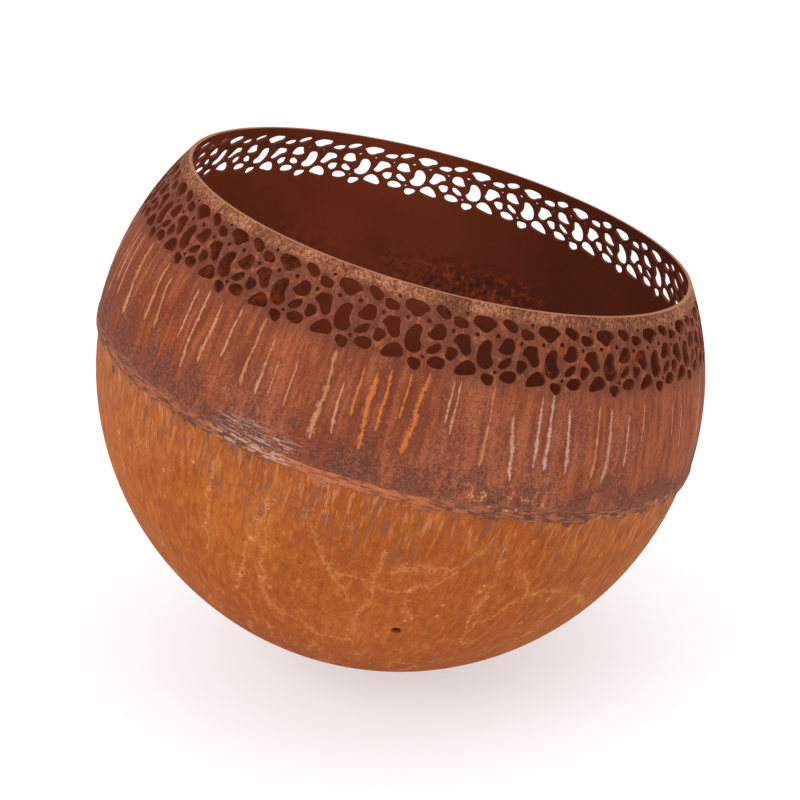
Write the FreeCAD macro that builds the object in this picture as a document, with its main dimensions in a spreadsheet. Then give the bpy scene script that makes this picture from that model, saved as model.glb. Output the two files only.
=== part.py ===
# Ball-shaped steel fire pit on a small foot ring, with a lift-out log grate.
#
# A spun dish and a spun band are butt-welded into one ball. The band is laser-cut into a
# pebble openwork just under the rim, and the ball is welded to its foot leaning to one side,
# so the mouth faces the people round the fire. The grate lies level on three lugs inside.
#
# Frame: millimetres, +Z up, origin on the ground at the foot ring's centre. The bowl leans
# towards +X. The bowl's own frame has its origin at the seam's centre and +Z along its axis.

import FreeCAD, Part
import math
import os
import Sketcher

Vector = FreeCAD.Vector
doc = FreeCAD.newDocument("fire_pit")


# ---------------------------------------------------------------- driving dimensions

DRIVING_SIZES = (
    ("seam_radius", 300, "outer radius where the dish meets the band"),
    ("sheet", 3, "thickness of the steel sheet"),
    ("tilt", 14.6, "lean of the bowl's axis towards +X, degrees"),
    ("rim_height", 170, "rim above the seam, along the bowl's axis"),
    ("band_centre", 2, "centre of the band's ball above the seam"),
    ("dish_step", 3, "seam radius less the dish's ball radius"),
    ("dish_centre", 8, "centre of the dish's ball above the seam"),
    ("flare_height", 16, "height of the dish's flared edge"),
    ("motif_count", 27, "repeats of the pebble motif round the band"),
    ("motif_width", 63, "width that the motif's outlines are drawn to"),
    ("motif_height", 60, "height that the motif's outlines are drawn to"),
    ("motif_start", -94.4, "where the first repeat's middle is, degrees"),
    ("plain_rim", 10.3, "plain strip between the openwork and the rim"),
    ("vent_count", 3, "air holes in the dish"),
    ("vent_diameter", 9.5, "width of an air hole"),
    ("vent_angle", 58, "air holes from the dish's lowest point, degrees"),
    ("vent_start", -81.5, "where the first air hole is, degrees"),
    ("seam_bead", 7.5, "radius of the seam's weld bead"),
    ("seam_proud", 1.5, "how far the seam's bead stands proud"),
    ("foot_radius", 65, "outer radius of the foot ring"),
    ("foot_wall", 5, "thickness of the foot ring"),
    ("foot_clearance", 3, "ground to the ball's lowest point"),
    ("foot_bead", 3.5, "radius of the foot's weld bead"),
    ("ring_bar", 12, "round bar that the grate's ring is bent from"),
    ("grate_bar", 8, "round bar of the grate's bars and lift loops"),
    ("bar_count", 11, "bars across the grate"),
    ("cross_share", 0.416, "each cross bar from the middle, as a share of the ring's radius"),
    ("cross_sink", 0.5, "how deep the crossings are pressed together"),
    ("lift_gap", 22, "grate to the mouth as it is lifted out"),
    ("wall_gap", 4, "cross bars' ends to the dish's wall"),
    ("seat_gap", 0.3, "grate to the lugs' top face"),
    ("lug_count", 3, "lugs under the grate"),
    ("lug_start", 90, "where the first lug is, degrees"),
    ("lug_width", 30, "width of a lug"),
    ("lug_thickness", 6, "thickness of a lug"),
    ("lug_overlap", 18, "how far a lug reaches in past the ring's centreline"),
    ("loop_radius", 25, "bend radius of a lift loop, to the bar's centre"),
    ("loop_leg", 20, "straight leg of a lift loop"),
)

sheet = doc.addObject("Spreadsheet::Sheet", "sizes")
for row, (name, value, meaning) in enumerate(DRIVING_SIZES, 1):
    sheet.set(f"A{row}", meaning)
    sheet.set(f"B{row}", str(value))
    sheet.setAlias(f"B{row}", name)
doc.recompute()


# ---------------------------------------------------------------- sizes worked out from them

WORKED_OUT_SIZES = (
    ("band_ball", "sqrt(sizes.seam_radius ^ 2 + sizes.band_centre ^ 2)"),
    ("dish_ball", "sizes.seam_radius - sizes.dish_step"),
    ("dish_inside", "fit.dish_ball - sizes.sheet"),
    ("ball_height", "fit.dish_ball + sizes.foot_clearance"),
    ("flare_radius",
     "sqrt(fit.dish_ball ^ 2 - (sizes.dish_centre + sizes.flare_height) ^ 2)"),
    # the rim's inner edge, and how near to the foot's axis its high side comes
    ("rim_inside",
     "sqrt((fit.band_ball - sizes.sheet) ^ 2 - (sizes.rim_height - sizes.band_centre) ^ 2)"),
    ("mouth_reach",
     "fit.rim_inside * cos(sizes.tilt)"
     " - (sizes.rim_height - sizes.dish_centre) * sin(sizes.tilt)"),
    # the grate is as wide as the mouth lets out, and its cross bars' ends just clear the dish
    ("ring_radius", "fit.mouth_reach - sizes.lift_gap - sizes.ring_bar / 2"),
    ("cross_offset", "sizes.cross_share * fit.ring_radius"),
    ("cross_drop", "sizes.grate_bar - sizes.cross_sink"),
    ("grate_height",
     "fit.ball_height + fit.cross_drop + sizes.grate_bar / 2"
     " - sqrt((fit.dish_inside - sizes.wall_gap) ^ 2 - fit.ring_radius ^ 2)"),
    ("bar_spacing", "2 * fit.ring_radius / (sizes.bar_count + 1)"),
    ("lug_top", "fit.grate_height - sizes.ring_bar / 2 - sizes.seat_gap"),
    ("foot_corner", "fit.ball_height - sqrt(fit.dish_ball ^ 2 - sizes.foot_radius ^ 2)"),
)

fit = doc.addObject("App::VarSet", "fit")
for name, formula in WORKED_OUT_SIZES:
    fit.addProperty("App::PropertyFloat", name)
    fit.setExpression(name, formula)
doc.recompute()

# the bowl's own frame, as an expression for the Placement of the pieces that lean
BOWL_FRAME = (
    "placement(vector(-sizes.dish_centre * sin(sizes.tilt); 0;"
    " fit.ball_height - sizes.dish_centre * cos(sizes.tilt));"
    " rotation(vector(0; 1; 0); sizes.tilt))"
)
BALL_CENTRE = "placement(vector(0; 0; fit.ball_height); rotation(vector(0; 0; 1); 0))"


def primitive(kind, name, placement, **sizes):
    """A Part primitive with its sizes and its Placement bound to the sheet."""
    solid = doc.addObject("Part::" + kind, name)
    for size, formula in sizes.items():
        solid.setExpression(size, formula)
    solid.setExpression("Placement", placement)
    return solid


def turned(azimuth, inner):
    """Placement expression: inner, carried round the foot's axis by azimuth degrees."""
    return f"placement(vector(0; 0; 0); rotation(vector(0; 0; 1); {azimuth})) * {inner}"


def boolean(kind, name, base, tool):
    """Part::Cut or Part::Common of two objects."""
    result = doc.addObject("Part::" + kind, name)
    result.Base = base
    result.Tool = tool
    return result


def fused(name, pieces):
    """Several objects as one solid, without the faces between them."""
    result = doc.addObject("Part::MultiFuse", name)
    result.Shapes = pieces
    result.Refine = True
    return result


# ---------------------------------------------------------------- spun shells

START, END, CENTRE = 1, 2, 3
H_AXIS, V_AXIS = -1, -2


def section_sketch(body):
    """A sketch on the body's XZ plane: x is the radius, y the height above the seam."""
    plane = next(f for f in body.Origin.OriginFeatures if f.Role == "XZ_Plane")
    sketch = body.newObject("Sketcher::SketchObject", body.Name + "_section")
    sketch.AttachmentSupport = [(plane, "")]
    sketch.MapMode = "FlatFace"
    return sketch


def arc_about_axis(sketch, centre, radius, low, high):
    """An arc centred on the bowl's axis, from the height low up to the height high."""
    circle = Part.Circle(Vector(0, centre, 0), Vector(0, 0, 1), radius)
    start = math.asin((low - centre) / radius)
    end = math.asin((high - centre) / radius)
    return sketch.addGeometry(Part.ArcOfCircle(circle, start, end), False)


def line(sketch, start, end):
    return sketch.addGeometry(Part.LineSegment(Vector(*start, 0), Vector(*end, 0)), False)


def join(sketch, *pairs):
    for first, first_point, second, second_point in pairs:
        sketch.addConstraint(
            Sketcher.Constraint("Coincident", first, first_point, second, second_point)
        )


def on_axis(sketch, axis, *points):
    for geometry, point in points:
        sketch.addConstraint(Sketcher.Constraint("PointOnObject", geometry, point, axis))


def size(sketch, kind, name, geometry, value, formula):
    """A dimension of the sketch, bound to the sheet. geometry is what it measures."""
    index = sketch.addConstraint(Sketcher.Constraint(kind, *geometry, value))
    sketch.renameConstraint(index, name)
    sketch.setExpression("Constraints." + name, formula)


def spin(body, sketch):
    """Revolves the section about the body's vertical axis."""
    revolution = body.newObject("PartDesign::Revolution", body.Name + "_spun")
    revolution.Profile = sketch
    revolution.ReferenceAxis = (sketch, ["V_Axis"])
    revolution.Angle = 360
    sketch.Visibility = False
    doc.recompute()
    return revolution


def make_lower_bowl():
    """The dish: a spun ball section with a short flared edge and a ring of air holes."""
    body = doc.addObject("PartDesign::Body", "lower_bowl")
    sketch = section_sketch(body)
    centre = sheet.dish_centre
    edge = -sheet.flare_height
    flare_inside = math.sqrt(fit.dish_inside**2 - (edge - centre) ** 2)
    outside = arc_about_axis(sketch, centre, fit.dish_ball, centre - fit.dish_ball, edge)
    flare_out = line(sketch, (fit.flare_radius, edge), (sheet.seam_radius, 0))
    lip = line(sketch, (sheet.seam_radius, 0), (sheet.seam_radius - sheet.sheet, 0))
    flare_in = line(sketch, (sheet.seam_radius - sheet.sheet, 0), (flare_inside, edge))
    inside = arc_about_axis(sketch, centre, fit.dish_inside, centre - fit.dish_inside, edge)
    bottom = line(sketch, (0, centre - fit.dish_inside), (0, centre - fit.dish_ball))
    join(
        sketch,
        (outside, END, flare_out, START),
        (flare_out, END, lip, START),
        (lip, END, flare_in, START),
        (flare_in, END, inside, END),
        (inside, START, bottom, START),
        (bottom, END, outside, START),
        (outside, CENTRE, inside, CENTRE),
    )
    on_axis(sketch, V_AXIS, (outside, CENTRE), (outside, START), (inside, START))
    on_axis(sketch, H_AXIS, (lip, START), (lip, END))
    sketch.addConstraint(Sketcher.Constraint("Horizontal", outside, END, inside, END))
    size(sketch, "DistanceY", "centre_height", (-1, 1, outside, CENTRE), centre,
         "sizes.dish_centre")
    size(sketch, "DistanceY", "flare_height", (outside, END, -1, 1), -edge,
         "sizes.flare_height")
    size(sketch, "Radius", "outer_radius", (outside,), fit.dish_ball, "fit.dish_ball")
    size(sketch, "Radius", "inner_radius", (inside,), fit.dish_inside, "fit.dish_inside")
    size(sketch, "DistanceX", "seam_radius", (-1, 1, lip, START), sheet.seam_radius,
         "sizes.seam_radius")
    size(sketch, "DistanceX", "lip_width", (lip, END, lip, START), sheet.sheet,
         "sizes.sheet")
    spin(body, sketch)

    # the drill starts at the ball's centre and goes out through the wall
    drill = body.newObject("PartDesign::SubtractiveCylinder", "vent_drill")
    drill.setExpression("Radius", "sizes.vent_diameter / 2")
    drill.setExpression("Height", "sizes.seam_radius + sizes.sheet")
    drill.setExpression(
        "Placement",
        "placement(vector(0; 0; sizes.dish_centre); rotation(vector(0; 0; 1);"
        " sizes.vent_start)) * placement(vector(0; 0; 0); rotation(vector(0; 1; 0);"
        " 180 - sizes.vent_angle))",
    )
    doc.recompute()
    axis = next(f for f in body.Origin.OriginFeatures if f.Role == "Z_Axis")
    vents = body.newObject("PartDesign::PolarPattern", "vents")
    vents.Originals = [drill]
    vents.Axis = (axis, [""])
    vents.Angle = 360
    vents.setExpression("Occurrences", "sizes.vent_count")
    body.Tip = vents
    body.setExpression("Placement", BOWL_FRAME)
    return body


def make_band_blank():
    """The band before it is laser-cut: a spun zone of a ball, trimmed flat at the rim."""
    body = doc.addObject("PartDesign::Body", "band_blank")
    sketch = section_sketch(body)
    centre, rim = sheet.band_centre, sheet.rim_height
    inner_ball = fit.band_ball - sheet.sheet
    outside = arc_about_axis(sketch, centre, fit.band_ball, 0, rim)
    inside = arc_about_axis(sketch, centre, inner_ball, 0, rim)
    rim_outside = math.sqrt(fit.band_ball**2 - (rim - centre) ** 2)
    seam_inside = math.sqrt(inner_ball**2 - centre**2)
    rim_edge = line(sketch, (rim_outside, rim), (fit.rim_inside, rim))
    seam_edge = line(sketch, (seam_inside, 0), (sheet.seam_radius, 0))
    join(
        sketch,
        (outside, END, rim_edge, START),
        (rim_edge, END, inside, END),
        (inside, START, seam_edge, START),
        (seam_edge, END, outside, START),
        (outside, CENTRE, inside, CENTRE),
    )
    on_axis(sketch, V_AXIS, (outside, CENTRE))
    on_axis(sketch, H_AXIS, (seam_edge, START), (seam_edge, END))
    sketch.addConstraint(Sketcher.Constraint("Horizontal", rim_edge))
    size(sketch, "DistanceY", "centre_height", (-1, 1, outside, CENTRE), centre,
         "sizes.band_centre")
    size(sketch, "DistanceY", "rim_height", (-1, 1, rim_edge, START), rim,
         "sizes.rim_height")
    size(sketch, "Radius", "outer_radius", (outside,), fit.band_ball, "fit.band_ball")
    size(sketch, "Radius", "inner_radius", (inside,), inner_ball,
         "fit.band_ball - sizes.sheet")
    spin(body, sketch)
    body.setExpression("Placement", BOWL_FRAME)
    return body


# ---------------------------------------------------------------- pebble openwork

# One repeat of the motif, in mm: how far across from the repeat's middle and how far up from
# the openwork's lower edge. Each outline is a closed smooth curve through its points.
PEBBLES = (
    # crown, right under the plain rim
    ((-14.5, 54), (-12, 58), (-7, 59), (0, 58.8), (5, 56.8), (8.5, 53),
     (5, 49.5), (2, 46), (-1, 44.7), (-5, 45), (-9, 48), (-13.5, 50.5)),
    # oval, top right
    ((13.2, 55.5), (14.5, 59.2), (19, 59.7), (24, 58), (28, 54.8), (28, 50.5),
     (25, 48.6), (21, 49.2), (17, 51.8), (14, 54)),
    # block, top left
    ((-32, 50), (-31, 53), (-26, 53.5), (-21, 52), (-18, 49), (-18.5, 46),
     (-22, 44.6), (-28, 44.6), (-31, 46.5)),
    # kidney, left
    ((-29, 32.5), (-28, 35.5), (-25, 39), (-20, 40), (-15.5, 39.5), (-13.8, 36),
     (-12.8, 30.5), (-11.5, 26), (-13, 23), (-17, 21.7), (-20, 23.5), (-23, 27.5),
     (-26, 30)),
    # tall bean, in the middle
    ((-1.5, 38), (1.5, 39), (5, 37.5), (6, 34), (5.8, 28), (6.5, 25), (9, 21),
     (7.5, 16.5), (4, 14), (0, 14), (-4, 16), (-6.5, 21), (-7, 27), (-5.5, 33)),
    # rounded block, right
    ((11.3, 32), (13, 30.5), (17, 29.2), (22, 29.5), (26.5, 32), (27.2, 37),
     (25.5, 42), (21.5, 43.8), (17.5, 43), (14.5, 38.5), (12, 34)),
    # leaf, right
    ((13.2, 18), (15, 22), (19, 25.5), (23.5, 27), (25, 25), (24.3, 21),
     (20.5, 17.5), (16, 16.3)),
    # small round stone, far left
    ((-33, 23), (-32, 26), (-28.5, 26.3), (-24.5, 25), (-22.8, 21.5), (-25, 17.5),
     (-28.5, 14.7), (-32, 16), (-33.3, 19.5)),
    # egg, lower left
    ((-23.3, 7.5), (-22.5, 10), (-20, 14), (-15.5, 18), (-11.5, 18.8), (-7.5, 16.5),
     (-4.8, 12), (-5, 8.8), (-8.5, 6.7), (-14, 5.5), (-20, 4.5), (-22.8, 5.5)),
    # round stone, lower middle
    ((0, 8), (1.5, 10.3), (6, 10.5), (10.5, 9), (11.3, 5), (10, 1.5), (6.5, 0),
     (3, 2), (0.3, 5)),
    # flat stone, lower right
    ((15.8, 10), (17.5, 13), (21.5, 15.5), (27, 15.5), (30.5, 13.5), (30.8, 9),
     (28.5, 6), (23, 5.3), (18.5, 6.5)),
)

# Small round holes in the wider webs: across, up, diameter.
DOTS = (
    (-21, 57.7, 3.2),
    (10, 43.8, 4.3),
    (-9, 42, 4),
    (-30.5, 40.2, 3.6),
    (11.5, 12.7, 3.4),
)


def ball_direction(across, up, repeat):
    """Unit vector from the band's ball centre to a point of the motif on the wall."""
    step = 360 / sheet.motif_count
    azimuth = math.radians(
        sheet.motif_start + (repeat + across / sheet.motif_width) * step
    )
    rim_latitude = math.asin((sheet.rim_height - sheet.band_centre) / fit.band_ball)
    below_rim = sheet.plain_rim + sheet.motif_height - up
    latitude = rim_latitude - below_rim / fit.band_ball
    return Vector(
        math.cos(latitude) * math.cos(azimuth),
        math.cos(latitude) * math.sin(azimuth),
        math.sin(latitude),
    )


def pebble_cutter(outline, repeat, near, far):
    """A tapered plug whose sides all point at the ball's centre, so it cuts square edges."""
    directions = [ball_direction(across, up, repeat) for across, up in outline]
    middle = Vector(0, 0, 0)
    for direction in directions:
        middle = middle + direction
    middle.normalize()
    wires = []
    for distance in (near, far):
        points = [d * (distance / d.dot(middle)) for d in directions]
        curve = Part.BSplineCurve()
        curve.interpolate(points, PeriodicFlag=True)
        wires.append(Part.Wire([curve.toShape()]))
    return Part.makeLoft(wires, True, True)


def dot_cutter(across, up, diameter, repeat, near, far):
    """A cone from the ball's centre, as wide as the hole where it meets the wall."""
    direction = ball_direction(across, up, repeat)
    slope = diameter / 2 / fit.band_ball
    return Part.makeCone(near * slope, far * slope, far - near, direction * near, direction)


def make_upper_band():
    """The band with its openwork cut out."""
    blank = make_band_blank()
    doc.recompute()
    near = fit.band_ball - 2 * sheet.sheet
    far = fit.band_ball + sheet.sheet
    repeats = range(int(sheet.motif_count))
    plugs = [pebble_cutter(p, k, near, far) for k in repeats for p in PEBBLES]
    plugs += [dot_cutter(*dot, k, near, far) for k in repeats for dot in DOTS]
    for plug in plugs:
        plug.translate(Vector(0, 0, sheet.band_centre))
    cutters = doc.addObject("Part::Feature", "openwork_cutters")
    cutters.Shape = Part.makeCompound(plugs)
    cutters.Placement = blank.Placement
    return boolean("Cut", "upper_band", blank, cutters)


# ---------------------------------------------------------------- welds and foot


def make_seam_weld():
    """The bead run round the outside of the joint between dish and band."""
    bead = primitive(
        "Torus", "seam_bead_round", BOWL_FRAME,
        Radius1="sizes.seam_radius + sizes.seam_proud - sizes.seam_bead",
        Radius2="sizes.seam_bead",
    )
    band_side = primitive(
        "Sphere", "band_side",
        BOWL_FRAME + " * placement(vector(0; 0; sizes.band_centre);"
        " rotation(vector(0; 0; 1); 0))",
        Radius="fit.band_ball",
        Angle1="-asin(sizes.band_centre / fit.band_ball)",
        Angle2="asin(3 * sizes.seam_bead / fit.band_ball)",
    )
    dish_side = primitive(
        "Cone", "dish_side",
        BOWL_FRAME + " * placement(vector(0; 0; -sizes.flare_height);"
        " rotation(vector(0; 0; 1); 0))",
        Radius1="fit.flare_radius",
        Radius2="sizes.seam_radius",
        Height="sizes.flare_height",
    )
    return boolean("Cut", "seam_weld", bead, fused("both_sides", [band_side, dish_side]))


def make_foot(ball):
    """The foot ring, cut to the ball's curve, and the bead that holds it on."""
    ground = "placement(vector(0; 0; 0); rotation(vector(0; 0; 1); 0))"
    reach = "fit.foot_corner + sizes.foot_wall"
    tube = primitive(
        "Cylinder", "foot_tube", ground, Radius="sizes.foot_radius", Height=reach
    )
    bore = primitive(
        "Cylinder", "foot_bore", ground,
        Radius="sizes.foot_radius - sizes.foot_wall",
        Height=reach,
    )
    ring = boolean("Cut", "foot_ring", tube, fused("foot_hollow", [bore, ball]))
    bead = primitive(
        "Torus", "foot_bead_round",
        "placement(vector(0; 0; fit.foot_corner - sizes.foot_bead / 4);"
        " rotation(vector(0; 0; 1); 0))",
        Radius1="sizes.foot_radius + sizes.foot_bead / 4",
        Radius2="sizes.foot_bead",
    )
    weld = boolean("Cut", "foot_weld", bead, fused("foot_corner_solid", [tube, ball]))
    return [ring, weld]


def make_lugs():
    """Flat lugs under the grate's ring, their outer ends cut to the dish's wall."""
    hollow = primitive("Sphere", "dish_hollow", BALL_CENTRE, Radius="fit.dish_inside")
    lugs = []
    for number in range(int(sheet.lug_count)):
        azimuth = f"(sizes.lug_start + 360 * {number} / sizes.lug_count)"
        plate = primitive(
            "Box", f"lug_plate_{number + 1}",
            turned(
                azimuth,
                "placement(vector(fit.ring_radius - sizes.lug_overlap;"
                " -sizes.lug_width / 2; fit.lug_top - sizes.lug_thickness);"
                " rotation(vector(0; 0; 1); 0))",
            ),
            Length="fit.dish_inside - fit.ring_radius + sizes.lug_overlap",
            Width="sizes.lug_width",
            Height="sizes.lug_thickness",
        )
        lugs.append(boolean("Common", f"grate_lug_{number + 1}", plate, hollow))
    return lugs


# ---------------------------------------------------------------- lift-out grate


def at_grate(x, y, z="0", axis="0; 0; 1", angle="0"):
    """Placement expression in the grate's own plane, with an optional turn."""
    return (
        f"placement(vector({x}; {y}; fit.grate_height + {z});"
        f" rotation(vector({axis}); {angle}))"
    )


def make_grate():
    """A ring with bars across it, two cross bars under them and two lift loops."""
    ring = primitive(
        "Torus", "grate_ring", at_grate("0", "0"),
        Radius1="fit.ring_radius",
        Radius2="sizes.ring_bar / 2",
    )
    rods = []
    bars = []
    for number in range(int(sheet.bar_count)):
        offset = f"(({number} - (sizes.bar_count - 1) / 2) * fit.bar_spacing)"
        half = f"sqrt(fit.ring_radius ^ 2 - {offset} ^ 2)"
        rod = primitive(
            "Cylinder", f"rod_{number + 1}",
            at_grate(f"-{half}", offset, axis="0; 1; 0", angle="90"),
            Radius="sizes.grate_bar / 2",
            Height=f"2 * {half}",
        )
        rods.append(rod)
        bars.append(boolean("Cut", f"grate_bar_{number + 1:02d}", rod, ring))

    above = fused("ring_and_rods", [ring] + rods)
    half = "sqrt(fit.ring_radius ^ 2 - fit.cross_offset ^ 2)"
    cross_bars = []
    for number, side in enumerate(("-", ""), 1):
        rod = primitive(
            "Cylinder", f"cross_rod_{number}",
            at_grate(f"{side}fit.cross_offset", f"-{half}", "-fit.cross_drop", "1; 0; 0", "-90"),
            Radius="sizes.grate_bar / 2",
            Height=f"2 * {half}",
        )
        cross_bars.append(boolean("Cut", f"cross_bar_{number}", rod, above))

    loops = []
    for number, side in enumerate(("-", ""), 1):
        stand = f"{side}sqrt(fit.ring_radius ^ 2 - sizes.loop_radius ^ 2)"
        bend = primitive(
            "Torus", f"loop_bend_{number}",
            at_grate("0", stand, "sizes.loop_leg", "1; 0; 0", "90"),
            Radius1="sizes.loop_radius",
            Radius2="sizes.grate_bar / 2",
            Angle3="180",
        )
        legs = [
            primitive(
                "Cylinder", f"loop_leg_{number}_{leg}",
                at_grate(f"{end}sizes.loop_radius", stand),
                Radius="sizes.grate_bar / 2",
                Height="sizes.loop_leg",
            )
            for leg, end in enumerate(("-", ""), 1)
        ]
        whole = fused(f"loop_{number}", [bend] + legs)
        loops.append(boolean("Cut", f"lift_loop_{number}", whole, ring))
    return [ring] + bars + cross_bars + loops


# ---------------------------------------------------------------- the whole fire pit


def write_parts(pieces):
    """Checks every object, then writes each piece to its own file."""
    doc.recompute()
    for thing in doc.Objects:
        if {"Invalid", "Error"} & set(thing.State):
            raise RuntimeError(f"{thing.Name} failed: {thing.State}")
    for piece in pieces:
        shape = piece.Shape
        if shape.isNull() or not shape.isValid() or len(shape.Solids) != 1:
            raise RuntimeError(f"{piece.Label} is not one valid solid")
    os.makedirs("parts", exist_ok=True)
    for piece in pieces:
        piece.Shape.exportStep(f"parts/{piece.Label}.step")
        box = piece.Shape.BoundBox
        print(f"{piece.Label:14s} {piece.Shape.Volume / 1000:9.2f} cm3"
              f"  z {box.ZMin:7.2f} to {box.ZMax:7.2f}")


ball = primitive("Sphere", "dish_ball", BALL_CENTRE, Radius="fit.dish_ball")
pieces = [make_lower_bowl(), make_upper_band(), make_seam_weld()]
pieces += make_foot(ball)
pieces += make_lugs()
pieces += make_grate()
write_parts(pieces)
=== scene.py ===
import math

import bmesh
import bpy
from mathutils import Matrix, Vector, noise


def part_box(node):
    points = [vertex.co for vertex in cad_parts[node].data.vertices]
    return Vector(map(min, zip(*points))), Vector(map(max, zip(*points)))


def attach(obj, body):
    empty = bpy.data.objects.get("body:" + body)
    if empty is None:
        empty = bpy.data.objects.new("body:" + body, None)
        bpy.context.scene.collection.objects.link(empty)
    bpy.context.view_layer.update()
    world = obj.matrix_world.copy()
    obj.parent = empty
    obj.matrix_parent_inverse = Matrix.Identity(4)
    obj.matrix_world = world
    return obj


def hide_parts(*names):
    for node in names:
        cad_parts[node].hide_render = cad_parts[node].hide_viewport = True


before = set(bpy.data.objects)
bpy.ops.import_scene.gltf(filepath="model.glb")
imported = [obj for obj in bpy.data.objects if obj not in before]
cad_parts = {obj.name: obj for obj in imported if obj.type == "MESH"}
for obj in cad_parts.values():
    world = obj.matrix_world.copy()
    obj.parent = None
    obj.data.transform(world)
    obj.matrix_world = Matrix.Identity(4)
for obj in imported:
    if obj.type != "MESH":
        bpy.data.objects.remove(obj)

bpy.context.view_layer.update()


# ------------------------------------------------------------------ lower bowl
# The lower bowl is a dish spun from 3 mm weathering steel, with three small air holes. It has
# rusted to an even ochre, with paler veins where rain has run down it and dark pits where
# drops have dried.

TILT = math.radians(14.6)  # lean of the bowl's axis towards +X
SEAM_RADIUS = 0.3
DISH_BALL = 0.297  # the outside of the dish's ball
DISH_INSIDE = DISH_BALL - 0.003
DISH_CENTRE = 0.008  # how far that ball's centre is above the seam
FRONT = math.radians(-95.5)  # the side of the bowl that faces the camera

ball_centre = Vector((0, 0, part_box("lower_bowl")[0].z + DISH_BALL))
bowl_axis = Vector((math.sin(TILT), 0, math.cos(TILT)))
seam_centre = ball_centre - bowl_axis * DISH_CENTRE
lean = Matrix.Translation(seam_centre) @ Matrix.Rotation(TILT, 4, "Y")


def put(tree, kind, inputs=None, **settings):
    """Adds a shader node with its settings, and fills its inputs with values or links."""
    made = tree.nodes.new(kind)
    for name, value in settings.items():
        setattr(made, name, value)
    for key, value in (inputs or {}).items():
        if isinstance(value, bpy.types.NodeSocket):
            tree.links.new(value, made.inputs[key])
        else:
            made.inputs[key].default_value = value
    return made


def maths(tree, operation, *values):
    return put(tree, "ShaderNodeMath", dict(enumerate(values)), operation=operation).outputs[0]


def product(tree, first, *others):
    """The values multiplied together."""
    for other in others:
        first = maths(tree, "MULTIPLY", first, other)
    return first


def vector(tree, operation, *values):
    """A vector sum, product or the like of the values."""
    made = put(tree, "ShaderNodeVectorMath", dict(enumerate(values)), operation=operation)
    return made.outputs["Value" if operation in ("DOT_PRODUCT", "DISTANCE") else "Vector"]


def joined(tree, x, y, z=0.0):
    return put(tree, "ShaderNodeCombineXYZ", {0: x, 1: y, 2: z}).outputs[0]


def ramp(tree, value, low, high, to_low=0.0, to_high=1.0):
    """value from low to high becomes to_low to to_high, smoothly and held at both ends."""
    inputs = {0: value, 1: low, 2: high, 3: to_low, 4: to_high}
    made = put(tree, "ShaderNodeMapRange", inputs, interpolation_type="SMOOTHSTEP")
    return made.outputs[0]


def window(tree, value, start, full, fading, end):
    """1 where value is from full to fading, dropping smoothly to 0 at start and end."""
    return product(tree, ramp(tree, value, start, full), ramp(tree, value, end, fading))


def lay(tree, under, over, *amounts):
    """Colour under, with colour over laid on it by the product of the amounts."""
    under, over = [(*tone, 1) if isinstance(tone, tuple) else tone for tone in (under, over)]
    inputs = {0: product(tree, *amounts), 6: under, 7: over}
    return put(tree, "ShaderNodeMix", inputs, data_type="RGBA").outputs[2]


def cloud(tree, place, scale, detail, roughness):
    """Soft patches, 0 to 1, with a middle of 0.5."""
    inputs = {"Vector": place, "Scale": scale, "Detail": detail, "Roughness": roughness}
    return put(tree, "ShaderNodeTexNoise", inputs).outputs["Fac"]


def stretched(tree, place, across, up, shift=0.0):
    """The coordinates, finer or coarser across the bowl and up it."""
    inputs = {"Vector": place, "Scale": (across, across, up), "Location": (shift,) * 3}
    return put(tree, "ShaderNodeMapping", inputs).outputs[0]


def streaks(tree, place, across, up, shift, scale, detail, roughness):
    """Soft patches drawn out across the bowl or up it. Each shift gives other patches."""
    return cloud(tree, stretched(tree, place, across, up, shift), scale, detail, roughness)


def new_group(name, inputs, outputs):
    """A shader node group with its named inputs and outputs."""
    tree = bpy.data.node_groups.new(name, "ShaderNodeTree")
    for socket, kind, value in inputs:
        made = tree.interface.new_socket(socket, in_out="INPUT", socket_type=kind)
        if value is not None:
            made.default_value = value
    for socket, kind in outputs:
        tree.interface.new_socket(socket, in_out="OUTPUT", socket_type=kind)
    return tree, tree.nodes.new("NodeGroupInput").outputs, tree.nodes.new("NodeGroupOutput").inputs


def use(tree, group, inputs=None):
    """Places a node group in a material."""
    return put(tree, "ShaderNodeGroup", inputs, node_tree=group).outputs


FLOAT, COLOUR, VECTOR = "NodeSocketFloat", "NodeSocketColor", "NodeSocketVector"


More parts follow.
